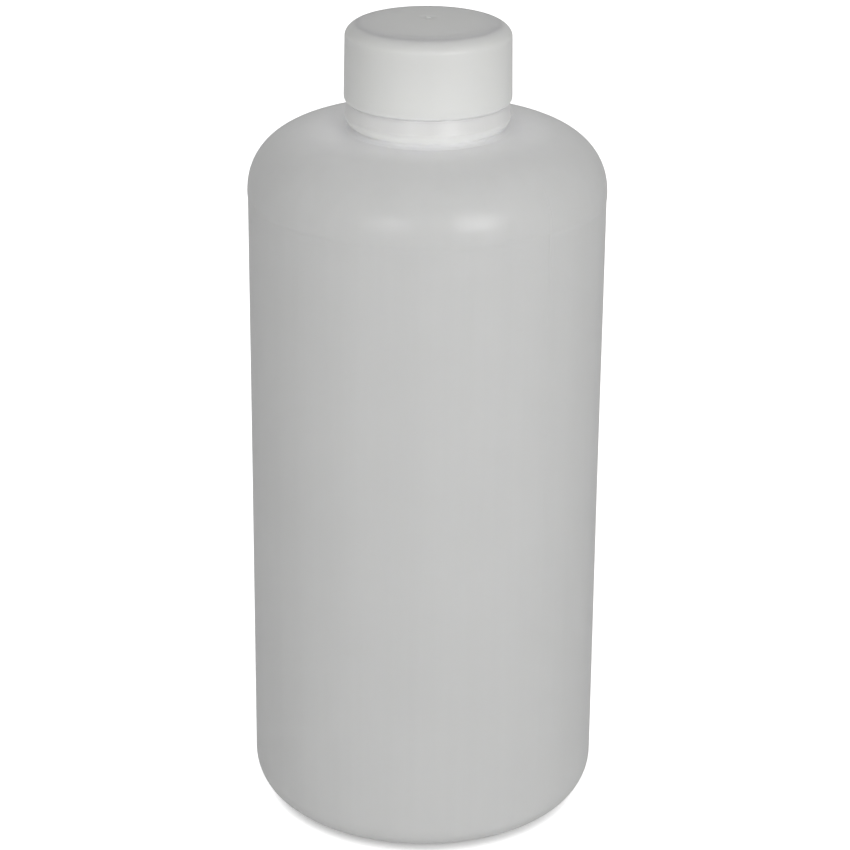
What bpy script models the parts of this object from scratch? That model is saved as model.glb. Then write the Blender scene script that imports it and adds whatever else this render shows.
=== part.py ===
"""Plastic reagent bottle: a blow-moulded bottle, a screw cap and the cap's sealing disc.

Lengths are in metres, +Z is up, and the bottle stands on z = 0 with its axis on Z.
The cap is screwed down. One turn of the cap lifts it by one pitch of the thread.
"""
import bpy
import bmesh
import math

for old in list(bpy.data.objects):
    bpy.data.objects.remove(old)

MM = 0.001

# Bottle body
BODY_R = 45.5 * MM            # label panel
BAND_R = 45.7 * MM            # widest band, where the shoulder starts
CORNER_R = 12.4 * MM          # rounding at the base, measured across
CORNER_H = 11.0 * MM          # the same rounding, measured up the side
CORNER_POWER = 2.2            # 2 is an ellipse, more is squarer
RIM_FOOT_R = 30.6 * MM        # inner edge of the ring it stands on
FOOT_SLOPE_R = 29.4 * MM      # foot of the slope up to the hollow
FOOT_SLOPE_Z = 0.2 * MM
PUSH_UP_R = 27.5 * MM         # top of that slope
PUSH_UP_EDGE_Z = 0.9 * MM
HOLLOW_R = 23.5 * MM          # the hollow flattens out inside this
HOLLOW_Z = 1.7 * MM
HOLLOW_FLAT_R = 14.0 * MM
HOLLOW_FLAT_Z = 2.25 * MM
PUSH_UP_H = 2.4 * MM          # height of the middle of the base
PANEL_TOP_Z = 166.2 * MM      # upper edge of the label panel
BAND_Z = 168.0 * MM
SHOULDER_R = 26.0 * MM        # where the dome meets the flat round the neck
SHOULDER_Z = 184.6 * MM
SHOULDER_POWER = 2.2
STEP_POINTS = (0.0, 0.3, 0.7)  # places on the step from the panel out to the band
WALL = 1.4 * MM
SHOULDER_WALL = 1.7 * MM

# Neck and its bead
PAD_R = 20.7 * MM             # low pad that the neck stands on
PAD_DROP = 0.2 * MM           # from the pad's top down to the shoulder
NECK_R = 19.0 * MM            # narrowest place, under the bead
NECK_Z = 185.0 * MM
BEAD_R = 20.95 * MM
BEAD_Z = 187.9 * MM           # widest edge of the bead
BEAD_POWER = 1.6
BEAD_TOP_R = 20.35 * MM
BEAD_TOP_Z = 191.5 * MM       # 0.3 mm under the cap
SOFT = 0.2 * MM               # small bevel
BORE_R = 15.4 * MM
ROOT_R = 17.5 * MM            # neck wall between the turns of the thread
RIM_Z = 209.2 * MM            # sealing rim

# Screw thread, 6 turns to the inch
PITCH = 25.4 / 6 * MM
THREAD_FOOT = 2.5 * MM        # width of the ridge where it leaves the wall
THREAD_TIP = 0.9 * MM         # width of the ridge along its crest
THREAD_ROOT = 0.5 * MM        # how far the ridge is sunk into the wall
THREAD_DIP = 0.25 * MM        # how far its ends run under the wall
CREST_R = 18.7 * MM           # outside of the neck thread
NECK_THREAD_Z = 195.4 * MM    # start of the neck thread at angle 0
NECK_TURNS = 2.25
CAP_CREST_R = 17.95 * MM      # inside of the cap thread
CAP_TURNS = 1.75

# Cap
CAP_LOW_R = 21.15 * MM
CAP_TOP_R = 20.9 * MM
CAP_LOW_Z = 191.8 * MM
CAP_EDGE_Z = 211.55 * MM      # where the rounded corner ends
CAP_CORNER_R = 5.2 * MM
CAP_CORNER_H = 3.5 * MM
CAP_CORNER_POWER = 1.9
CAP_CROWN = 1.2 * MM
CROWN_MID_R = 8.0 * MM        # the crown is three quarters up here
CAP_LIP_R = 0.8 * MM          # rounding of the lower edge, across
CAP_LIP_H = 1.2 * MM          # the same rounding, measured up the side
CAP_BORE_R = 19.1 * MM
CAP_ROOF_Z = 210.9 * MM       # underside of the cap's top
RECESS_R = 18.0 * MM          # recess that holds the sealing disc
RECESS_H = 1.5 * MM
RECESS_FOOT_H = 2.6 * MM      # where the bore starts to slope in to the recess

# Sealing disc
DISC_R = 17.6 * MM
DISC_LOW_Z = 209.5 * MM
DISC_TOP_Z = 210.6 * MM
DISC_BEVEL = 0.25 * MM

AROUND = 64                   # flats round each turned piece
TURN_STEPS = 48               # slices in one turn of a thread
RUN_OUT_STEPS = 8             # slices over which a thread grows or fades
SHARP_ANGLE = 40              # degrees


def rounded(centre_r, centre_z, size_r, size_z, start, end, steps, power=2.0):
    """Points on a rounded corner, angles in degrees from +R towards +Z."""
    points = []
    for i in range(steps + 1):
        angle = math.radians(start + (end - start) * i / steps)
        across = math.cos(angle)
        up = math.sin(angle)
        across = math.copysign(abs(across) ** (2 / power), across)
        up = math.copysign(abs(up) ** (2 / power), up)
        points.append((centre_r + size_r * across, centre_z + size_z * up))
    return points


def material(name, color, roughness):
    made = bpy.data.materials.new(name)
    made.use_nodes = True
    shader = made.node_tree.nodes["Principled BSDF"]
    shader.inputs["Base Color"].default_value = (*color, 1.0)
    shader.inputs["Roughness"].default_value = roughness
    return made


def add_object(name, bm):
    bmesh.ops.recalc_face_normals(bm, faces=bm.faces)
    mesh = bpy.data.meshes.new(name)
    bm.to_mesh(mesh)
    bm.free()
    made = bpy.data.objects.new(name, mesh)
    bpy.context.collection.objects.link(made)
    return made


def turned(name, outline):
    """Turn a closed outline of (r, z) points about Z. A point with r = 0 is one vertex on the axis."""
    bm = bmesh.new()
    rings = []
    for r, z in outline:
        count = AROUND if r > 0 else 1
        angles = [2 * math.pi * k / AROUND for k in range(count)]
        rings.append([bm.verts.new((r * math.cos(a), r * math.sin(a), z)) for a in angles])
    for one, two in zip(rings, rings[1:] + rings[:1]):
        if len(one) == 1 and len(two) == 1:
            continue
        for k in range(AROUND):
            n = (k + 1) % AROUND
            if len(one) == 1:
                bm.faces.new((one[0], two[n], two[k]))
            elif len(two) == 1:
                bm.faces.new((one[k], one[n], two[0]))
            else:
                bm.faces.new((one[k], one[n], two[n], two[k]))
    return add_object(name, bm)


def thread(name, wall_r, crest_r, start_z, turns):
    """A thread as a closed ridge rooted in the wall. Both ends run out into the wall."""
    side = 1 if crest_r > wall_r else -1
    rise = abs(crest_r - wall_r)
    foot_half = THREAD_FOOT / 2 + (THREAD_FOOT - THREAD_TIP) / 2 * THREAD_ROOT / rise
    count = round(turns * TURN_STEPS)
    bm = bmesh.new()
    slices = []
    for i in range(count + 1):
        angle = 2 * math.pi * i / TURN_STEPS
        z = start_z + PITCH * i / TURN_STEPS
        grown = min(1.0, i / RUN_OUT_STEPS, (count - i) / RUN_OUT_STEPS)
        grown = grown * grown * (3 - 2 * grown)
        tip_r = wall_r + side * (rise * grown - THREAD_DIP * (1 - grown))
        foot_r = wall_r - side * THREAD_ROOT
        section = (
            (foot_r, -foot_half),
            (tip_r, -THREAD_TIP / 2),
            (tip_r, THREAD_TIP / 2),
            (foot_r, foot_half),
        )
        points = [(r * math.cos(angle), r * math.sin(angle), z + dz) for r, dz in section]
        slices.append([bm.verts.new(point) for point in points])
    for one, two in zip(slices, slices[1:]):
        for k in range(4):
            n = (k + 1) % 4
            bm.faces.new((one[k], one[n], two[n], two[k]))
    bm.faces.new(slices[0])
    bm.faces.new(slices[-1])
    return add_object(name, bm)


def weld_on(body, ridge):
    joined = body.modifiers.new("thread", "BOOLEAN")
    joined.operation = "UNION"
    joined.solver = "EXACT"
    joined.object = ridge
    ridge.hide_render = True
    ridge.display_type = "WIRE"


def finish(part, made_of):
    part.data.materials.append(made_of)
    part.data.shade_smooth()
    part.data.set_sharp_from_angle(angle=math.radians(SHARP_ANGLE))


# Bottle: from the middle of the base up the outside, over the rim and down the inside.
outside = [
    (0.0, PUSH_UP_H),
    (HOLLOW_FLAT_R, HOLLOW_FLAT_Z),
    (HOLLOW_R, HOLLOW_Z),
    (PUSH_UP_R, PUSH_UP_EDGE_Z),
    (FOOT_SLOPE_R, FOOT_SLOPE_Z),
    (RIM_FOOT_R, 0.0),
]
corner_centre = BODY_R - CORNER_R
outside += rounded(corner_centre, CORNER_H, CORNER_R, CORNER_H, -90, 0, 9, CORNER_POWER)
panel_step = BAND_R - BODY_R
for t in STEP_POINTS:
    rise = t * t * (3 - 2 * t)
    outside.append((BODY_R + panel_step * rise, PANEL_TOP_Z + (BAND_Z - PANEL_TOP_Z) * t))
dome_r = BAND_R - SHOULDER_R
dome_h = SHOULDER_Z - BAND_Z
outside += rounded(SHOULDER_R, BAND_Z, dome_r, dome_h, 0, 90, 12, SHOULDER_POWER)
outside += [
    (PAD_R + SOFT / 2, SHOULDER_Z - PAD_DROP),
    (PAD_R - SOFT / 2, SHOULDER_Z - PAD_DROP / 2),
    (NECK_R + 3 * SOFT, SHOULDER_Z + SOFT / 4),
    (NECK_R + SOFT, NECK_Z + SOFT / 2),
]
bead_h = BEAD_Z - NECK_Z - 1.5 * SOFT
outside += rounded(NECK_R, BEAD_Z, BEAD_R - NECK_R, bead_h, -80, 0, 6, BEAD_POWER)
outside += [
    (BEAD_TOP_R, BEAD_TOP_Z - SOFT),
    (BEAD_TOP_R - SOFT, BEAD_TOP_Z),
    (ROOT_R + 2.5 * SOFT, BEAD_TOP_Z),
    (ROOT_R, BEAD_TOP_Z + 2.5 * SOFT),
    (ROOT_R, RIM_Z - 2.5 * SOFT),
    (ROOT_R - 2.5 * SOFT, RIM_Z),
]

inside = [
    (BORE_R + 2 * SOFT, RIM_Z),
    (BORE_R, RIM_Z - 2 * SOFT),
    (BORE_R, BEAD_Z),
    (BORE_R + 2.5 * SOFT, SHOULDER_Z - 2 * SOFT),
    (BORE_R + 10 * SOFT, SHOULDER_Z - SHOULDER_WALL + SOFT),
]
dome_in_h = dome_h - SHOULDER_WALL
inside += rounded(SHOULDER_R, BAND_Z, dome_r - WALL, dome_in_h, 90, 0, 10, SHOULDER_POWER)
inside.append((BODY_R - WALL, PANEL_TOP_Z))
inside += rounded(corner_centre, CORNER_H, CORNER_R - WALL, CORNER_H - WALL, 0, -90, 7, CORNER_POWER)
inside += [
    (RIM_FOOT_R, WALL),
    (PUSH_UP_R, WALL + PUSH_UP_EDGE_Z),
    (HOLLOW_R, WALL + HOLLOW_Z),
    (HOLLOW_FLAT_R, WALL + HOLLOW_FLAT_Z),
    (0.0, WALL + PUSH_UP_H),
]
bottle = turned("bottle", outside + inside)
finish(bottle, material("natural_polyethylene", (0.80, 0.80, 0.79), 0.38))
neck_thread = thread("cutter_neck_thread", ROOT_R, CREST_R, NECK_THREAD_Z, NECK_TURNS)
weld_on(bottle, neck_thread)

# Cap: from the middle of the top down the outside, round the lip and up the inside.
cap_outline = [
    (0.0, CAP_EDGE_Z + CAP_CROWN),
    (CROWN_MID_R, CAP_EDGE_Z + 0.75 * CAP_CROWN),
]
corner_r = CAP_TOP_R - CAP_CORNER_R
corner_z = CAP_EDGE_Z - CAP_CORNER_H
cap_outline += rounded(corner_r, corner_z, CAP_CORNER_R, CAP_CORNER_H, 90, 0, 8, CAP_CORNER_POWER)
cap_outline += rounded(CAP_LOW_R - CAP_LIP_R, CAP_LOW_Z + CAP_LIP_H, CAP_LIP_R, CAP_LIP_H, 0, -90, 4)
cap_outline += [
    (CAP_BORE_R + 2 * SOFT, CAP_LOW_Z),
    (CAP_BORE_R, CAP_LOW_Z + 2 * SOFT),
    (CAP_BORE_R, CAP_ROOF_Z - RECESS_FOOT_H),
    (RECESS_R, CAP_ROOF_Z - RECESS_H),
    (RECESS_R, CAP_ROOF_Z),
    (0.0, CAP_ROOF_Z),
]
screw_cap = turned("screw_cap", cap_outline)
finish(screw_cap, material("white_polyethylene", (0.88, 0.88, 0.86), 0.35))
# The cap's ridge starts half a pitch below the neck's, so the two interleave.
cap_thread_z = NECK_THREAD_Z - 0.5 * PITCH
cap_thread = thread("cutter_cap_thread", CAP_BORE_R, CAP_CREST_R, cap_thread_z, CAP_TURNS)
weld_on(screw_cap, cap_thread)

# Sealing disc, held in the recess under the cap's top
disc_outline = [
    (0.0, DISC_LOW_Z),
    (DISC_R - DISC_BEVEL, DISC_LOW_Z),
    (DISC_R, DISC_LOW_Z + DISC_BEVEL),
    (DISC_R, DISC_TOP_Z - DISC_BEVEL),
    (DISC_R - DISC_BEVEL, DISC_TOP_Z),
    (0.0, DISC_TOP_Z),
]
cap_liner = turned("cap_liner", disc_outline)
finish(cap_liner, material("foamed_polyethylene", (0.90, 0.90, 0.88), 0.6))
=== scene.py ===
# %% [markdown]
# # A plastic reagent bottle
#
# This notebook dresses a one-litre laboratory bottle: a blow-moulded bottle in natural
# polyethylene, its white screw cap, and the soft disc in the cap that seals on the rim.
# The frame already holds the right sizes, the moving bodies and the plain solids. Here each
# plain solid gives way to a finer piece that rides on the same body.

# %% Open the frame
import math

import bmesh
import bpy
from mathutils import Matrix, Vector, noise


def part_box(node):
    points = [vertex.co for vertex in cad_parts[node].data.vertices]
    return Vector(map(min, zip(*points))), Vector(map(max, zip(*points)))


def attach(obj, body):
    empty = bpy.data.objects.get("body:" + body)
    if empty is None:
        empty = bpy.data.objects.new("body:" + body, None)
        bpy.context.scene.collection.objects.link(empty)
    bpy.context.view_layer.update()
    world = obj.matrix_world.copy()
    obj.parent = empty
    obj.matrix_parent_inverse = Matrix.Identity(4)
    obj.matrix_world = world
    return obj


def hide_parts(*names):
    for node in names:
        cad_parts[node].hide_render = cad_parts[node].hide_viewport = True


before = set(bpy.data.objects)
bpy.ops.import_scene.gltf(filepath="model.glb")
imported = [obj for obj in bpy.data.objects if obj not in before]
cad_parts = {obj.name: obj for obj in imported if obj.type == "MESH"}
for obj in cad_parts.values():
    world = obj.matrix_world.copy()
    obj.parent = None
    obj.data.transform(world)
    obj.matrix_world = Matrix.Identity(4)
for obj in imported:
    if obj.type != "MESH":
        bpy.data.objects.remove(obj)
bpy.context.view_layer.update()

MM = 0.001
for node in sorted(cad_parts):
    low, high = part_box(node)
    print(node, [round(v / MM, 1) for v in high - low], "mm")

# %% [markdown]
# ## The sizes everything hangs on
#
# A turned object needs very few numbers. The widest radius, the rim, the cap's ends and the
# disc come straight from the frame, so the fine pieces can't drift away from the solids.
# The rest are the mould's own sizes: where the label panel starts, how round the shoulder
# is, and how deep the thread is cut.

# %% Read the main sizes
bottle_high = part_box("bottle")[1]
cap_low, cap_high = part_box("screw_cap")
disc_low, disc_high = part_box("cap_liner")

RIM_Z = bottle_high.z
CAP_LOW_Z = cap_low.z
CAP_TOP_Z = cap_high.z
CAP_R = cap_high.x
DISC_R = disc_high.x
SEAM_PROUD = 0.10 * MM
BAND_R = bottle_high.x - SEAM_PROUD
PANEL_R = BAND_R - 0.13 * MM
BAND_Z = 168.0 * MM
WALL = 1.4 * MM
PITCH = 25.4 / 6 * MM
print("widest", round(BAND_R / MM, 2), "rim at", round(RIM_Z / MM, 2))
print("cap from", round(CAP_LOW_Z / MM, 2), "to", round(CAP_TOP_Z / MM, 2))

# %% [markdown]
# ## Outlines
#
# Blow moulds and caps are turned on a lathe before anything else is cut into them, so one
# outline of radius and height describes each piece. A rounded corner on a moulding is rarely
# a true quarter circle. Raising the sine and cosine to a power gives a corner that can be a
# little squarer or a little slacker, which is how the shoulder and the base are drawn here.

# %% Corners and soft steps
def corner(centre_r, centre_z, size_r, size_z, start, end, steps, power=2.0):
    """Points along a rounded corner. Angles are in degrees: 0 is outwards and 90 is upwards.

    A power of 2 gives part of an ellipse. More is squarer, and less is slacker.
    """
    points = []
    for i in range(steps + 1):
        angle = math.radians(start + (end - start) * i / steps)
        across = math.copysign(abs(math.cos(angle)) ** (2 / power), math.cos(angle))
        up = math.copysign(abs(math.sin(angle)) ** (2 / power), math.sin(angle))
        points.append((centre_r + size_r * across, centre_z + size_z * up))
    return points


def round_corner(centre_r, centre_z, radius, start, end, steps):
    """A corner that is part of a true circle."""
    return corner(centre_r, centre_z, radius, radius, start, end, steps)


def ease(t):
    """0 to 1 with a soft start and a soft stop."""
    t = min(1.0, max(0.0, t))
    return t * t * (3 - 2 * t)


def soft_step(start, end, steps):
    """An S-shaped step whose two ends run straight up."""
    points = []
    for i in range(steps + 1):
        t = i / steps
        r = start[0] + (end[0] - start[0]) * ease(t)
        points.append((r, start[1] + (end[1] - start[1]) * t))
    return points


def straight(start, end, longest):
    """Points on a straight run, none further apart than longest. The start is left out."""
    run = math.dist(start, end)
    count = max(1, math.ceil(run / longest))
    return [
        (start[0] + (end[0] - start[0]) * i / count, start[1] + (end[1] - start[1]) * i / count)
        for i in range(1, count + 1)
    ]


def fair(points, longest):
    """Fill the long gaps of an outline, keeping every point it was drawn with."""
    filled = [points[0]]
    for point in points[1:]:
        filled += straight(filled[-1], point, longest)
    return filled


print("a soft step:", [round(ease(i / 4), 2) for i in range(5)])

# %% [markdown]
# ## The bottle's outside
#
# From the push-up in the base the outline runs over the resting ring, round the base corner,
# up the label panel, out over a small soft step to the widest band, over the domed shoulder
# and in to the neck. Under the cap sits a bead, a ring that the mould leaves to stiffen the
# neck. Its widest edge is low down, and it tapers in underneath.

# %% Draw the outside
CORNER_R = 12.4 * MM
CORNER_H = 11.0 * MM
FOOT_R = 30.6 * MM
PUSH_UP_R = 27.5 * MM
PUSH_UP_H = 2.4 * MM
SHOULDER_R = 26.0 * MM
SHOULDER_Z = 184.6 * MM
PAD_R = 20.7 * MM
NECK_R = 19.0 * MM
NECK_Z = 185.0 * MM
BEAD_R = 20.95 * MM
BEAD_Z = 187.9 * MM
BEAD_TOP_R = 20.35 * MM
BEAD_TOP_Z = 191.7 * MM
ROOT_R = 17.5 * MM
BORE_R = 15.4 * MM
BODY_POWER = 2.2
BEAD_POWER = 1.6
STEP_DROP = 1.5 * MM
BAND_HALF = 0.2 * MM
BEAD_EDGE = 0.16 * MM
ROOT_ROUND = 0.5 * MM
RIM_ROUND = 0.6 * MM
THREAD_ROW = 0.22 * MM
# Points in millimetres: radius, and drop below the middle of the push-up.
PUSH_UP_SHAPE = ((6, 0.02), (12, 0.12), (18, 0.35), (22, 0.62), (24.5, 0.85))
# Points in millimetres: how far out and up from the bead's widest edge.
BEAD_RIDGE = ((-0.01, -0.16), (0.05, 0.0), (-0.01, 0.14), (-0.06, 0.24))

base_outline = [(0.0, PUSH_UP_H)]
for r_mm, drop_mm in PUSH_UP_SHAPE:
    base_outline.append((r_mm * MM, PUSH_UP_H - drop_mm * MM))
base_outline += soft_step((25.2 * MM, PUSH_UP_H - 1.0 * MM), (PUSH_UP_R, 0.75 * MM), steps=5)
base_outline += [
    (PUSH_UP_R + 0.9 * MM, 0.45 * MM),
    (FOOT_R - 1.0 * MM, 0.16 * MM),
    (FOOT_R, 0.0),
]
body_outline = corner(
    PANEL_R - CORNER_R, CORNER_H, CORNER_R, CORNER_H, -90, 0, steps=36, power=BODY_POWER
)
body_outline += soft_step((PANEL_R, BAND_Z - STEP_DROP), (BAND_R, BAND_Z - BAND_HALF), steps=10)
body_outline += corner(
    SHOULDER_R,
    BAND_Z + BAND_HALF,
    BAND_R - SHOULDER_R,
    SHOULDER_Z - BAND_Z - BAND_HALF,
    0,
    90,
    steps=56,
    power=BODY_POWER,
)
neck_outline = [
    (24.0 * MM, SHOULDER_Z - 0.02 * MM),
    (22.2 * MM, SHOULDER_Z - 0.12 * MM),
    (PAD_R + 0.3 * MM, SHOULDER_Z - 0.2 * MM),
    (PAD_R + 0.08 * MM, SHOULDER_Z - 0.2 * MM),
    (PAD_R, SHOULDER_Z - 0.14 * MM),
    (PAD_R - 0.1 * MM, SHOULDER_Z - 0.1 * MM),
]
neck_outline += corner(
    NECK_R + 1.0 * MM, NECK_Z + 0.4 * MM, 0.9 * MM, NECK_Z - SHOULDER_Z + 0.45 * MM, 270, 190, steps=8
)
neck_outline += corner(
    NECK_R, BEAD_Z, BEAD_R - NECK_R, BEAD_Z - NECK_Z - 0.3 * MM, -84, -8, steps=16, power=BEAD_POWER
)
neck_outline += [(BEAD_R + out_mm * MM, BEAD_Z + up_mm * MM) for out_mm, up_mm in BEAD_RIDGE]
neck_outline += straight(neck_outline[-1], (BEAD_TOP_R, BEAD_TOP_Z - 0.1 * MM), 0.5 * MM)
neck_outline += round_corner(BEAD_TOP_R - BEAD_EDGE, BEAD_TOP_Z - 0.1 * MM, BEAD_EDGE, 15, 90, steps=5)
neck_outline += [(ROOT_R + 0.6 * MM, BEAD_TOP_Z + 0.06 * MM)]
neck_outline += round_corner(ROOT_R + ROOT_ROUND, BEAD_TOP_Z + ROOT_ROUND, ROOT_ROUND, 260, 180, steps=4)
THREAD_ZONE = (BEAD_TOP_Z + 0.6 * MM, RIM_Z - 0.9 * MM)
neck_outline += fair([(ROOT_R, THREAD_ZONE[0]), (ROOT_R, THREAD_ZONE[1])], THREAD_ROW)
neck_outline += round_corner(ROOT_R - RIM_ROUND, RIM_Z - RIM_ROUND, RIM_ROUND, 0, 90, steps=5)
print(len(base_outline) + len(body_outline) + len(neck_outline), "points outside")

# %% [markdown]
# ## The bottle's inside
#
# A blown wall is thinner where the plastic stretched most. The body and the base are about
# 1.4 mm thick, the shoulder is a little thicker, and the neck is thickest. The inside follows
# the outside, softened, because air presses the plastic against the mould from one side only.

# %% Draw the inside and close the outline
SHOULDER_WALL = 1.7 * MM
BORE_ROUND = 0.4 * MM
OUTSIDE_ROW = 4.0 * MM
INSIDE_ROW = 8.0 * MM

inner_neck = round_corner(BORE_R + BORE_ROUND, RIM_Z - BORE_ROUND, BORE_ROUND, 90, 180, steps=3)
inner_neck += [
    (BORE_R, BEAD_Z),
    (BORE_R + 0.15 * MM, SHOULDER_Z + 1.2 * MM),
    (BORE_R + 0.7 * MM, SHOULDER_Z - 0.4 * MM),
    (BORE_R + 2.2 * MM, SHOULDER_Z - 1.4 * MM),
]
inner_body = corner(
    SHOULDER_R,
    BAND_Z,
    BAND_R - SHOULDER_R - WALL,
    SHOULDER_Z - BAND_Z - SHOULDER_WALL,
    90,
    0,
    steps=30,
    power=BODY_POWER,
)
inner_body += [(PANEL_R - WALL, BAND_Z - STEP_DROP)]
inner_body += corner(
    PANEL_R - CORNER_R, CORNER_H, CORNER_R - WALL, CORNER_H - WALL, 0, -90, steps=20, power=BODY_POWER
)
inner_base = [
    (FOOT_R, WALL),
    (PUSH_UP_R, WALL + 0.8 * MM),
    (24.0 * MM, WALL + PUSH_UP_H - 0.8 * MM),
    (12.0 * MM, WALL + PUSH_UP_H - 0.15 * MM),
    (0.0, WALL + PUSH_UP_H),
]
bottle_outline = fair(base_outline + body_outline, OUTSIDE_ROW)
outside_count = len(bottle_outline) + len(neck_outline)
bottle_outline += neck_outline
bottle_outline += fair(inner_neck + inner_body + inner_base, INSIDE_ROW)
print(outside_count, "points outside,", len(bottle_outline), "in all")

# %% [markdown]
# ## Turning an outline into a mesh
#
# Blender's Screw modifier would turn an outline, but it spaces the columns evenly. A mould's
# parting line is a ridge about a third of a millimetre wide, so this lathe takes its own list of
# angles and packs columns close together where the ridge runs. It also takes a rule that
# moves each point in or out, which is how threads, ridges and slight waves are made without
# any cutting. Each ring is joined to the next, and a point on the axis closes the mesh.

# %% The lathe
COLUMN_STEP = 2.5
SEAM_ANGLES = (0.0, 0.08, 0.16, 0.26, 0.4, 0.7, 1.3)
SEAM_CLEAR = SEAM_ANGLES[-1] + 0.3
SHARP_ANGLE = math.radians(50)


def column_angles(step, seams=()):
    """Angles in degrees round the turn, packed closely at each seam."""
    angles = {round(step * k, 4) for k in range(round(360 / step))}
    for seam in seams:
        angles = {a for a in angles if abs((a - seam + 180) % 360 - 180) > SEAM_CLEAR}
        for off in SEAM_ANGLES:
            angles.add(round((seam + off) % 360, 4))
            angles.add(round((seam - off) % 360, 4))
    return [math.radians(a) for a in sorted(angles)]


def lathe(name, outline, angles, move=None):
    """Turn a closed outline. move(r, z, angle, index) gives the radius and height to use."""
    bm = bmesh.new()
    rings = []
    for index, (r, z) in enumerate(outline):
        ring = []
        for angle in angles if r > 0 else angles[:1]:
            pr, pz = move(r, z, angle, index) if move else (r, z)
            ring.append(bm.verts.new((pr * math.cos(angle), pr * math.sin(angle), pz)))
        rings.append(ring)
    count = len(angles)
    for one, two in zip(rings, rings[1:] + rings[:1]):
        if len(one) == 1 and len(two) == 1:
            continue
        for k in range(count):
            n = (k + 1) % count
            if len(one) == 1:
                bm.faces.new((one[0], two[n], two[k]))
            elif len(two) == 1:
                bm.faces.new((one[k], one[n], two[0]))
            else:
                bm.faces.new((one[k], one[n], two[n], two[k]))
    bmesh.ops.recalc_face_normals(bm, faces=bm.faces)
    mesh = bpy.data.meshes.new(name)
    bm.to_mesh(mesh)
    bm.free()
    mesh.shade_smooth()
    mesh.set_sharp_from_angle(angle=SHARP_ANGLE)
    piece = bpy.data.objects.new(name, mesh)
    bpy.context.collection.objects.link(piece)
    print(name, len(mesh.vertices), "points", len(mesh.polygons), "faces")
    return piece


seam_angles = column_angles(COLUMN_STEP, seams=(0, 180))
even_angles = column_angles(COLUMN_STEP)
print(len(seam_angles), "columns on the bottle,", len(even_angles), "on the cap")

# %% [markdown]
# ## A screw thread as a rule
#
# A thread is a ridge that climbs one pitch in each turn. Seen at one angle it is a row of
# ridges up the wall, so the height of the wall at any point depends only on how far that
# point is from the nearest ridge. The ridge has sloping flanks and a flat crest, and each end
# of it runs out smoothly over a sixth of a turn, as the mould cutter leaves it.

# %% The thread rule
THREAD_FOOT = 2.5 * MM
THREAD_TIP = 0.9 * MM
RUN_OUT = 1 / 6


def thread_height(z, angle, start_z, turns, rise):
    """How far the ridge stands off its wall at this height and angle."""
    best = 0.0
    for whole in range(-1, math.ceil(turns) + 1):
        travelled = angle / (2 * math.pi) + whole
        if not 0 <= travelled <= turns:
            continue
        away = abs(z - start_z - PITCH * travelled)
        flank = (THREAD_FOOT / 2 - away) / (THREAD_FOOT / 2 - THREAD_TIP / 2)
        grown = ease(travelled / RUN_OUT) * ease((turns - travelled) / RUN_OUT)
        best = max(best, rise * grown * ease(flank))
    return best


NECK_THREAD_Z = 195.4 * MM
NECK_TURNS = 2.25
NECK_RISE = 1.2 * MM
one_turn_up = thread_height(NECK_THREAD_Z + PITCH, 0.0, NECK_THREAD_Z, NECK_TURNS, NECK_RISE)
print("the ridge stands", round(one_turn_up / MM, 2), "mm proud one turn up")

# %% [markdown]
# ## The bottle
#
# The parting line is where the two halves of the mould met: a hair-thin ridge down both sides.
# Across the base it becomes the pinch-off, the scar left where the mould nipped the hot tube
# shut. The panel sinks by less than a tenth of a millimetre as it cools, and it is never quite
# true, so reflections in it are soft and a little uneven. All of this is a rule on the lathe.

# %% Make the bottle
SEAM_WIDE = 0.14 * MM
SEAM_LEAST = 0.2
SEAM_DROP = 6.0 * MM
SEAM_FADE = 14.0 * MM
SCAR_HALF = 21.0 * MM
SCAR_WIDE = 0.55 * MM
SCAR_HIGH = 0.35 * MM
SCAR_END = 3.0 * MM
SINK = 0.08 * MM
SINK_LOW_Z = 14.0 * MM
SINK_HIGH_Z = BAND_Z - 1.0 * MM
WAVE = 0.05 * MM
WAVE_LOW_Z = 3.0 * MM
WAVE_GROW = 12.0 * MM
WAVE_FADE = 15.0 * MM
WAVES_ROUND = 1.6
WAVE_TALL = 60.0 * MM


def bottle_rule(r, z, angle, index):
    """The scar below, the thread above, and the ridge, sink and waves between them."""
    if index >= outside_count:
        return r, z
    beside = abs(r * math.sin(angle))
    if r < PUSH_UP_R - 1.0 * MM and z < PUSH_UP_H + 0.1 * MM:
        ends = ease((SCAR_HALF - r) / SCAR_END)
        return r, z - SCAR_HIGH * ends * math.exp(-((beside / SCAR_WIDE) ** 2))
    if z < WAVE_LOW_Z:
        return r, z
    if THREAD_ZONE[0] <= z <= THREAD_ZONE[1] and r < BEAD_R - 1.0 * MM:
        return r + thread_height(z, angle, NECK_THREAD_Z, NECK_TURNS, NECK_RISE), z
    near_band = math.exp(-(((z - BAND_Z + SEAM_DROP) / SEAM_FADE) ** 4))
    proud = SEAM_PROUD * (SEAM_LEAST + (1 - SEAM_LEAST) * near_band)
    seam = proud * math.exp(-((beside / SEAM_WIDE) ** 2))
    along = (z - SINK_LOW_Z) / (SINK_HIGH_Z - SINK_LOW_Z)
    sink = SINK * math.sin(math.pi * along) ** 2 if 0 < along < 1 else 0.0
    below = ease((z - WAVE_LOW_Z) / WAVE_GROW)
    above = ease((BEAD_TOP_Z - z) / WAVE_FADE)
    spot = Vector((math.cos(angle) * WAVES_ROUND, math.sin(angle) * WAVES_ROUND, z / WAVE_TALL))
    wave = WAVE * (0.5 + 0.5 * noise.noise(spot)) * (below if z < BAND_Z else above)
    return r - sink - wave + seam, z


bottle = lathe("bottle_blown", bottle_outline, seam_angles, bottle_rule)
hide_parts("bottle")
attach(bottle, "bottle")

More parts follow.
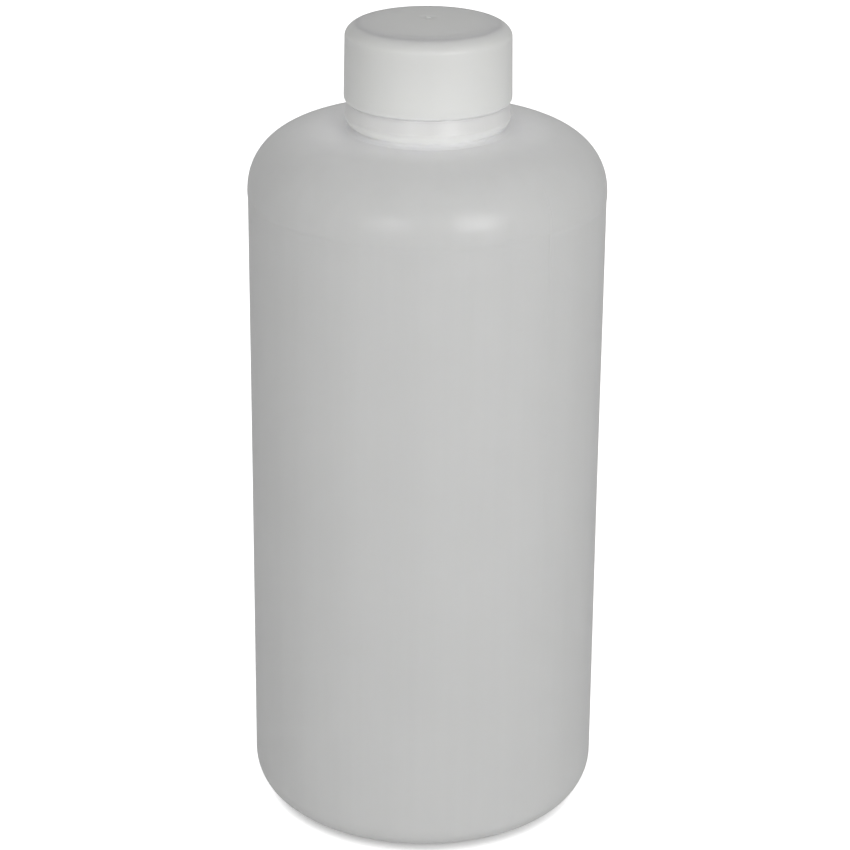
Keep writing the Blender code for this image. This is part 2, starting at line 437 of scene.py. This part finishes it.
# %% [markdown]
# ## The screw cap
#
# The cap is injection moulded, so it is truer than the bottle: a plain skirt with a hint of
# taper, a rounded edge, and a slightly crowned top. Plastic entered at the middle of the top,
# where a small dimple with a nub is left. Inside is a thread that sits half a pitch from the
# neck's thread, and a shallow recess that holds the disc.

# %% Make the cap
CAP_CROWN = 1.2 * MM
CAP_EDGE_Z = CAP_TOP_Z - CAP_CROWN
CAP_TOP_R = CAP_R - 0.25 * MM
CAP_CORNER_R = 5.2 * MM
CAP_CORNER_H = 3.5 * MM
CAP_BORE_R = 19.1 * MM
CAP_ROOF_Z = 210.9 * MM
CAP_RISE = 1.15 * MM
CAP_TURNS = 1.75
CAP_BORE_ROUND = 0.4 * MM
CAP_ROOF_ROUND = 0.6 * MM
LIP_R = 0.8 * MM
LIP_H = 1.2 * MM
CAP_EDGE_POWER = 1.9
CROWN_POWER = 2.4
CROWN_STEPS = 15
CROWN_SINK = 0.12 * MM
GATE_R = 1.8 * MM
# The gate's nub and dimple: radius, and depth below the top, in millimetres.
GATE_MARK = ((0.0, 0.0), (0.45, 0.02), (0.6, 0.12), (0.68, 0.3), (1.25, 0.34), (1.6, 0.2))

flat_r = CAP_TOP_R - CAP_CORNER_R
cap_outline = [(r_mm * MM, CAP_TOP_Z - deep_mm * MM) for r_mm, deep_mm in GATE_MARK]
for i in range(1, CROWN_STEPS):
    r = GATE_R + (flat_r - GATE_R) * i / CROWN_STEPS
    cap_outline.append((r, CAP_EDGE_Z + (CAP_CROWN - CROWN_SINK) * (1 - (r / flat_r) ** CROWN_POWER)))
cap_outline += corner(
    flat_r, CAP_EDGE_Z - CAP_CORNER_H, CAP_CORNER_R, CAP_CORNER_H, 90, 0, steps=22, power=CAP_EDGE_POWER
)
cap_outline += straight(cap_outline[-1], (CAP_R, CAP_LOW_Z + LIP_H), 2.0 * MM)
cap_outline += corner(CAP_R - LIP_R, CAP_LOW_Z + LIP_H, LIP_R, LIP_H, 0, -90, steps=12)[1:]
cap_outside_count = len(cap_outline)
cap_outline += [(CAP_BORE_R + 0.5 * MM, CAP_LOW_Z)]
cap_outline += round_corner(
    CAP_BORE_R + CAP_BORE_ROUND, CAP_LOW_Z + CAP_BORE_ROUND, CAP_BORE_ROUND, 270, 180, steps=3
)[1:]
CAP_THREAD_ZONE = (CAP_LOW_Z + 0.5 * MM, CAP_ROOF_Z - 2.8 * MM)
cap_outline += fair([(CAP_BORE_R, CAP_THREAD_ZONE[0]), (CAP_BORE_R, CAP_THREAD_ZONE[1])], THREAD_ROW)
cap_outline += round_corner(
    CAP_BORE_R - CAP_ROOF_ROUND, CAP_ROOF_Z - 2.2 * MM, CAP_ROOF_ROUND, 0, 80, steps=3
)[1:]
cap_outline += [
    (DISC_R + 0.4 * MM, CAP_ROOF_Z - 1.5 * MM),
    (DISC_R + 0.4 * MM, CAP_ROOF_Z - 0.15 * MM),
    (DISC_R + 0.25 * MM, CAP_ROOF_Z),
    (9.0 * MM, CAP_ROOF_Z),
    (0.0, CAP_ROOF_Z),
]
CAP_THREAD_Z = NECK_THREAD_Z - PITCH / 2


def cap_rule(r, z, angle, index):
    """Only the thread inside the cap moves its points."""
    if index < cap_outside_count or not CAP_THREAD_ZONE[0] <= z <= CAP_THREAD_ZONE[1]:
        return r, z
    return r - thread_height(z, angle, CAP_THREAD_Z, CAP_TURNS, CAP_RISE), z


cap = lathe("cap_moulded", cap_outline, even_angles, cap_rule)
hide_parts("screw_cap")
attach(cap, "cap")

# %% [markdown]
# ## The sealing disc
#
# The disc is punched from foamed sheet. Its cut edge is slightly rounded, and once the cap
# has been done up, the rim presses a shallow ring into its face.

# %% Make the disc
DISC_EDGE = 0.22 * MM
PRESS_DEEP = 0.12 * MM
PRESS_WIDE_MM = 0.7

rim_middle = (BORE_R + ROOT_R) / 2
low_z = disc_low.z
top_z = disc_high.z
disc_outline = [(0.0, low_z), (8.0 * MM, low_z)]
for off_mm in (-1.3, -0.9, -0.5, 0.0, 0.5, 0.9, 1.3):
    press = PRESS_DEEP * math.exp(-((off_mm / PRESS_WIDE_MM) ** 2))
    disc_outline.append((rim_middle + off_mm * MM, low_z + press))
disc_outline += round_corner(DISC_R - DISC_EDGE, low_z + DISC_EDGE, DISC_EDGE, -90, 0, steps=4)[1:]
disc_outline += round_corner(DISC_R - DISC_EDGE, top_z - DISC_EDGE, DISC_EDGE, 0, 90, steps=4)
disc_outline += [(9.0 * MM, top_z), (0.0, top_z)]
disc = lathe("cap_disc", disc_outline, even_angles)
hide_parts("cap_liner")
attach(disc, "disc")

# %% [markdown]
# ## A short way to write materials
#
# Every finish here is a Principled shader with a few nodes in front of it. These helpers make
# a node and join it up in one line, so that a material's cell reads like a list of its layers.

# %% Material helpers
def new_material(name):
    material = bpy.data.materials.new(name)
    material.use_nodes = True
    tree = material.node_tree
    return material, tree, tree.nodes["Principled BSDF"]


def add_node(tree, kind, settings=None, **inputs):
    """Make a node. A value given as a socket is joined, and anything else is set.

    Inputs go by their names, or as i0, i1 and so on for the first, the second and the rest.
    """
    node = tree.nodes.new(kind)
    for key, value in (settings or {}).items():
        setattr(node, key, value)
    for key, value in inputs.items():
        numbered = key[0] == "i" and key[1:].isdigit()
        socket = node.inputs[int(key[1:]) if numbered else key.replace("_", " ")]
        if isinstance(value, bpy.types.NodeSocket):
            tree.links.new(value, socket)
        else:
            socket.default_value = value
    return node


def noise_at(tree, where, scale, detail, roughness):
    """Soft, cloudy variation between 0 and 1."""
    return add_node(
        tree, "ShaderNodeTexNoise", Vector=where, Scale=scale, Detail=detail, Roughness=roughness
    ).outputs["Fac"]


def spread(tree, value, low, high, to_low=0.0, to_high=1.0):
    """Stretch the range from low to high onto another, and stop at its ends."""
    return add_node(
        tree,
        "ShaderNodeMapRange",
        Value=value,
        From_Min=low,
        From_Max=high,
        To_Min=to_low,
        To_Max=to_high,
    ).outputs["Result"]


def blend(tree, share, one, two, how="MIX"):
    """Mix two colours, where a share of 1 gives the second. They are inputs 6 and 7."""
    settings = {"data_type": "RGBA", "blend_type": how}
    return add_node(tree, "ShaderNodeMix", settings, i0=share, i6=one, i7=two).outputs[2]


def arithmetic(tree, operation, **inputs):
    """A step of arithmetic on single values."""
    return add_node(tree, "ShaderNodeMath", {"operation": operation}, **inputs).outputs[0]


def bump(tree, strength, distance, height, **under):
    """Fine relief. A Normal given as well is the relief it lies on."""
    return add_node(
        tree, "ShaderNodeBump", Strength=strength, Distance=distance, Height=height, **under
    ).outputs["Normal"]


def off_white(tone, green=1.0, blue=0.99):
    """A nearly neutral colour, with its green and blue as shares of its tone."""
    return tone, tone * green, tone * blue, 1


def dress(piece, material):
    piece.data.materials.clear()
    piece.data.materials.append(material)
    print(piece.name, "wears", material.name)

# %% [markdown]
# ## Natural polyethylene
#
# Uncoloured polyethylene is milky: light goes into the wall, scatters and comes out softened,
# which subsurface scattering gives. Where the wall is thin the bottle looks greyer, because
# some light passes through into the empty inside. Towards the neck the colour is painted
# whiter. Partly this is the shoulder's thicker plastic, and partly it is painted light: the glow
# of light caught inside the shoulder and the brightly lit neck base. The shoulder's height
# hardly changes there, so above the band a colour ramp follows the distance from the axis
# instead. The bead is a little greyer, and its upper edge is painted whiter, painted light that
# lifts the shade in the groove under the cap. The blown surface has faint upright streaks from
# the die that formed the tube, and a fine grain from the sand-blasted mould.

# %% Natural polyethylene
natural, tree, shader = new_material("natural_polyethylene_blown")
place = add_node(tree, "ShaderNodeTexCoord").outputs["Object"]
height = add_node(tree, "ShaderNodeSeparateXYZ", i0=place).outputs["Z"]
flat_place = add_node(
    tree, "ShaderNodeVectorMath", {"operation": "MULTIPLY"}, i0=place, i1=(1, 1, 0)
).outputs[0]
radius = add_node(
    tree, "ShaderNodeVectorMath", {"operation": "LENGTH"}, i0=flat_place
).outputs["Value"]
inwards = spread(tree, radius, BAND_R, NECK_R)
above_band = spread(tree, height, BAND_Z - 1.0 * MM, BAND_Z + 1.0 * MM)
to_neck = arithmetic(tree, "MULTIPLY", i0=inwards, i1=above_band)
streak_space = add_node(
    tree, "ShaderNodeMapping", i0=place, Scale=(1.0, 1.0, 0.03)
).outputs["Vector"]
streaks = noise_at(tree, streak_space, scale=160.0, detail=3.0, roughness=0.6)
cloud = noise_at(tree, place, scale=28.0, detail=3.0, roughness=0.5)
grain = noise_at(tree, place, scale=1500.0, detail=2.0, roughness=0.6)

# How far from the band to the neck, and how white the wall is there: thicker plastic plus painted glow.
WALL_AND_GLOW_TONES = (
    (0.0, 0.61), (0.12, 0.65), (0.3, 0.70), (0.5, 0.765), (0.68, 0.87), (0.85, 0.94), (1.0, 0.94)
)
BEAD_TONE = 0.755
# Painted light: a whiter tone for the lip and the bead's top edge, which lifts the shade in the groove
# between cap and bead.
GROOVE_LIGHT_TONE = 0.92
# Painted light: the ramp whitens the shoulder and the neck base for the light glowing in them, as well
# as for their thicker wall.
thickness_and_glow = add_node(tree, "ShaderNodeValToRGB", Fac=to_neck)
ramp = thickness_and_glow.color_ramp.elements
while len(ramp) < len(WALL_AND_GLOW_TONES):
    ramp.new(0.5)
for stop, (position, tone) in zip(ramp, WALL_AND_GLOW_TONES):
    stop.position = position
    stop.color = off_white(tone, green=1.004, blue=0.995)
on_bead = spread(tree, height, NECK_Z + 0.8 * MM, BEAD_Z)
# Painted light: the bead's top 0.6 mm is whitened to lift the shade in the groove under the cap.
bead_groove_light = spread(tree, height, BEAD_TOP_Z - 0.6 * MM, BEAD_TOP_Z)
bead_and_groove_tone = blend(tree, bead_groove_light, off_white(BEAD_TONE), off_white(GROOVE_LIGHT_TONE))
wall_and_glow_tone = blend(tree, on_bead, thickness_and_glow.outputs["Color"], bead_and_groove_tone)
mottle = arithmetic(tree, "ADD", i0=streaks, i1=cloud)
mottle_tone = spread(tree, mottle, low=0.7, high=1.3, to_low=0.985, to_high=1.015)
tinted = blend(tree, 1.0, wall_and_glow_tone, mottle_tone, how="MULTIPLY")
tree.links.new(tinted, shader.inputs["Base Color"])
gloss = spread(tree, cloud, low=0.3, high=0.7, to_low=0.285, to_high=0.325)
tree.links.new(gloss, shader.inputs["Roughness"])
relief = bump(tree, strength=0.15, distance=0.05 * MM, height=grain)
relief = bump(tree, strength=0.10, distance=0.3 * MM, height=streaks, Normal=relief)
tree.links.new(relief, shader.inputs["Normal"])
shader.inputs["Subsurface Weight"].default_value = 1.0
shader.inputs["Subsurface Radius"].default_value = (1.0, 1.0, 0.95)
shader.inputs["Subsurface Scale"].default_value = 2.5 * MM
shader.inputs["IOR"].default_value = 1.5
dress(bottle, natural)

# %% [markdown]
# ## White polyethylene
#
# The cap has a white pigment in it, so it is brighter and hides the threads behind it. Its
# mould was polished less than a mirror: the finish is satin, with a very fine grain and a faint
# cloudiness from the way the plastic flowed. The skirt is painted whiter towards its lower
# edge, painted light for the glow that scatters through it from the neck behind. The last
# millimetre of the lip is painted whiter still, painted light that lifts the shade in the
# groove above the bead.

# %% White polyethylene
CAP_TOP_COLOUR = (0.685, 0.688, 0.675, 1)
# Painted light: the lower skirt's colour, whiter for light scattering through it from the neck.
CAP_GLOW_SKIRT_COLOUR = (0.755, 0.76, 0.745, 1)

white, tree, shader = new_material("white_polyethylene_moulded")
place = add_node(tree, "ShaderNodeTexCoord").outputs["Object"]
cloud = noise_at(tree, place, scale=60.0, detail=3.0, roughness=0.5)
grain = noise_at(tree, place, scale=2200.0, detail=2.0, roughness=0.6)
height = add_node(tree, "ShaderNodeSeparateXYZ", i0=place).outputs["Z"]
# Painted light: the skirt whitens towards its lower edge for light from the neck behind. The cloud adds
# the real flow marks.
glow_down_skirt = spread(tree, height, CAP_EDGE_Z - 4.0 * MM, CAP_LOW_Z)
flow_and_glow = arithmetic(tree, "MULTIPLY_ADD", i0=cloud, i1=0.35, i2=glow_down_skirt)
tone = blend(tree, flow_and_glow, CAP_TOP_COLOUR, CAP_GLOW_SKIRT_COLOUR)
# Painted light: the lip's last millimetre is whitened to lift the shade in the groove above the bead.
lip_groove_light = spread(tree, height, CAP_LOW_Z + 0.9 * MM, CAP_LOW_Z + 0.1 * MM)
tone = blend(tree, lip_groove_light, tone, off_white(GROOVE_LIGHT_TONE))
tree.links.new(tone, shader.inputs["Base Color"])
gloss = spread(tree, cloud, low=0.3, high=0.7, to_low=0.34, to_high=0.40)
tree.links.new(gloss, shader.inputs["Roughness"])
relief = bump(tree, strength=0.12, distance=0.04 * MM, height=grain)
tree.links.new(relief, shader.inputs["Normal"])
shader.inputs["Subsurface Weight"].default_value = 1.0
shader.inputs["Subsurface Radius"].default_value = (1.0, 1.0, 0.95)
shader.inputs["Subsurface Scale"].default_value = 2.2 * MM
shader.inputs["IOR"].default_value = 1.5
dress(cap, white)

# %% [markdown]
# ## Foamed polyethylene
#
# The disc is a foam with closed cells about a third of a millimetre across. A cell pattern
# gives the bump, and there is hardly any gloss.

# %% Foamed polyethylene
foam, tree, shader = new_material("foamed_polyethylene_sheet")
place = add_node(tree, "ShaderNodeTexCoord").outputs["Object"]
cells = add_node(tree, "ShaderNodeTexVoronoi", Vector=place, Scale=3200.0).outputs["Distance"]
tone = blend(tree, cells, (0.86, 0.86, 0.84, 1), (0.92, 0.92, 0.90, 1))
tree.links.new(tone, shader.inputs["Base Color"])
relief = bump(tree, strength=0.4, distance=0.08 * MM, height=cells)
tree.links.new(relief, shader.inputs["Normal"])
shader.inputs["Roughness"].default_value = 0.75
shader.inputs["Subsurface Weight"].default_value = 0.5
shader.inputs["Subsurface Scale"].default_value = 1.0 * MM
dress(disc, foam)

# %% [markdown]
# ## Where the camera stands
#
# The camera looks down at the bottle by about 22 degrees from three quarters of a metre away,
# which is close enough that the base looks smaller than the shoulder. It is set round from
# the front so that one parting line shows on the right.

# %% Camera
VIEW_ROUND = math.radians(48.5)
VIEW_DOWN = math.radians(21.75)
VIEW_FROM = 742.8 * MM
VIEW_AT = Vector((0.0, 0.0, 103.8 * MM))
VIEW_LEAN = math.radians(0.46)
VIEW_SLIDE = -0.1 * MM
SENSOR_MM = 36.0
LENS_MM = 120.13


def stand(round_by, up_by, distance, centre):
    """A place so far from the centre, turned round from the front and raised by an angle."""
    away = Vector((
        math.sin(round_by) * math.cos(up_by),
        -math.cos(round_by) * math.cos(up_by),
        math.sin(up_by),
    ))
    return centre + away * distance


sideways = Vector((math.cos(VIEW_ROUND), math.sin(VIEW_ROUND), 0.0))
aim = VIEW_AT + sideways * VIEW_SLIDE
lens = bpy.data.cameras.new("camera")
lens.sensor_width = SENSOR_MM
lens.lens = LENS_MM
lens.clip_start = 0.01
lens.clip_end = 50.0
camera = bpy.data.objects.new("camera", lens)
bpy.context.collection.objects.link(camera)
camera.location = stand(VIEW_ROUND, VIEW_DOWN, VIEW_FROM, aim)
camera.rotation_euler = (aim - camera.location).to_track_quat("-Z", "Y").to_euler()
camera.rotation_euler.rotate_axis("Z", VIEW_LEAN)
bpy.context.scene.camera = camera
print("camera at", [round(v, 3) for v in camera.location], "lens", round(lens.lens, 1), "mm")

# %% [markdown]
# ## The floor
#
# A white sweep of floor under soft light is the usual way to show a white bottle. The floor
# looks white to the camera, yet a floor that bright would light the bottle from below and
# wash out its edges, so the light that bounces off it is that of a greyer floor. It is darker
# still in reflections, as when black cards stand beside the bottle, and that darkens the
# bottle's edge a little. Ambient occlusion makes the narrow shadow where the bottle meets
# the floor.

# %% Floor
FLOOR_SIZE = 8.0
FLOOR_Z = -0.0002
SHEEN, DARK_SHEEN = 0.25, 0.03
FLOOR_GLOW = 0.72
SHADOW_REACH = 2.6 * MM

bpy.ops.mesh.primitive_grid_add(
    x_subdivisions=8, y_subdivisions=8, size=FLOOR_SIZE, location=(0, 0, FLOOR_Z)
)
floor = bpy.context.object
floor.name = "floor"
floor_look, tree, shader = new_material("floor_white")
tree.nodes.remove(shader)
seen = add_node(tree, "ShaderNodeLightPath").outputs["Is Camera Ray"]
grey = add_node(tree, "ShaderNodeBsdfDiffuse", Color=(0.6, 0.6, 0.6, 1)).outputs[0]
mirrored = add_node(tree, "ShaderNodeLightPath").outputs["Is Glossy Ray"]
sheen_strength = spread(tree, mirrored, low=0, high=1, to_low=SHEEN, to_high=DARK_SHEEN)
sheen = add_node(tree, "ShaderNodeEmission", Color=(1, 1, 1, 1), Strength=sheen_strength).outputs[0]
bounce = add_node(tree, "ShaderNodeAddShader", i0=grey, i1=sheen).outputs[0]
lit = add_node(tree, "ShaderNodeBsdfDiffuse", Color=(0.9, 0.9, 0.9, 1)).outputs[0]
openness = add_node(
    tree, "ShaderNodeAmbientOcclusion", {"samples": 12}, Distance=SHADOW_REACH
).outputs["AO"]
glow_strength = spread(tree, openness, low=0, high=1, to_high=FLOOR_GLOW)
glow = add_node(tree, "ShaderNodeEmission", Color=(1, 1, 1, 1), Strength=glow_strength).outputs[0]
bright = add_node(tree, "ShaderNodeAddShader", i0=lit, i1=glow).outputs[0]
surface = add_node(tree, "ShaderNodeMixShader", i0=seen, i1=bounce, i2=bright).outputs[0]
tree.links.new(surface, tree.nodes["Material Output"].inputs["Surface"])
floor.data.materials.append(floor_look)
print("floor", round(floor.dimensions.x, 1), "m across")

# %% [markdown]
# ## The room
#
# The room is an even grey glow that fills the shadows. To the camera it is white, so that the
# far edge of the floor doesn't show. A picture of a real studio could light the room instead,
# but a plain glow has no shapes that would appear in the plastic.

# %% Room light
ROOM_LIGHT, ROOM_SEEN = 0.42, 1.05

world = bpy.data.worlds.new("room")
world.use_nodes = True
tree = world.node_tree
seen = add_node(tree, "ShaderNodeLightPath").outputs["Is Camera Ray"]
strength = spread(tree, seen, low=0, high=1, to_low=ROOM_LIGHT, to_high=ROOM_SEEN)
tree.links.new(strength, tree.nodes["Background"].inputs["Strength"])
tree.nodes["Background"].inputs["Color"].default_value = (1, 1, 1, 1)
bpy.context.scene.world = world
print("the room is lit")

# %% [markdown]
# ## The soft boxes
#
# Two soft boxes stand to the right and left of the camera, not far above the bottle, and draw
# the two soft highlights on the shoulder. A larger one above the camera and one behind the
# bottle only add light: they are left out of reflections, so they draw no highlights.

# %% Soft boxes
AIM_HEIGHT = 0.12


def soft_box(name, round_by, up_by, distance, size, watts):
    """A square lamp. It stands so many degrees round from the camera, and so many up."""
    light = bpy.data.lights.new(name, "AREA")
    light.shape = "SQUARE"
    light.size = size
    light.energy = watts
    lamp = bpy.data.objects.new(name, light)
    bpy.context.collection.objects.link(lamp)
    centre = Vector((0.0, 0.0, AIM_HEIGHT))
    lamp.location = stand(VIEW_ROUND + math.radians(round_by), math.radians(up_by), distance, centre)
    lamp.rotation_euler = (centre - lamp.location).to_track_quat("-Z", "Y").to_euler()
    print(name, "at", [round(v, 2) for v in lamp.location])
    return lamp


soft_box("key_light", round_by=31, up_by=15, distance=1.3, size=0.6, watts=4.9)
soft_box("fill_light", round_by=-22, up_by=15, distance=1.3, size=0.5, watts=2.1)
front = soft_box("front_light", round_by=0, up_by=32, distance=1.6, size=1.0, watts=2.9)
back = soft_box("back_light", round_by=180, up_by=28, distance=1.6, size=0.8, watts=4.2)
front.visible_glossy = False
back.visible_glossy = False
bpy.context.scene.view_settings.view_transform = "Standard"
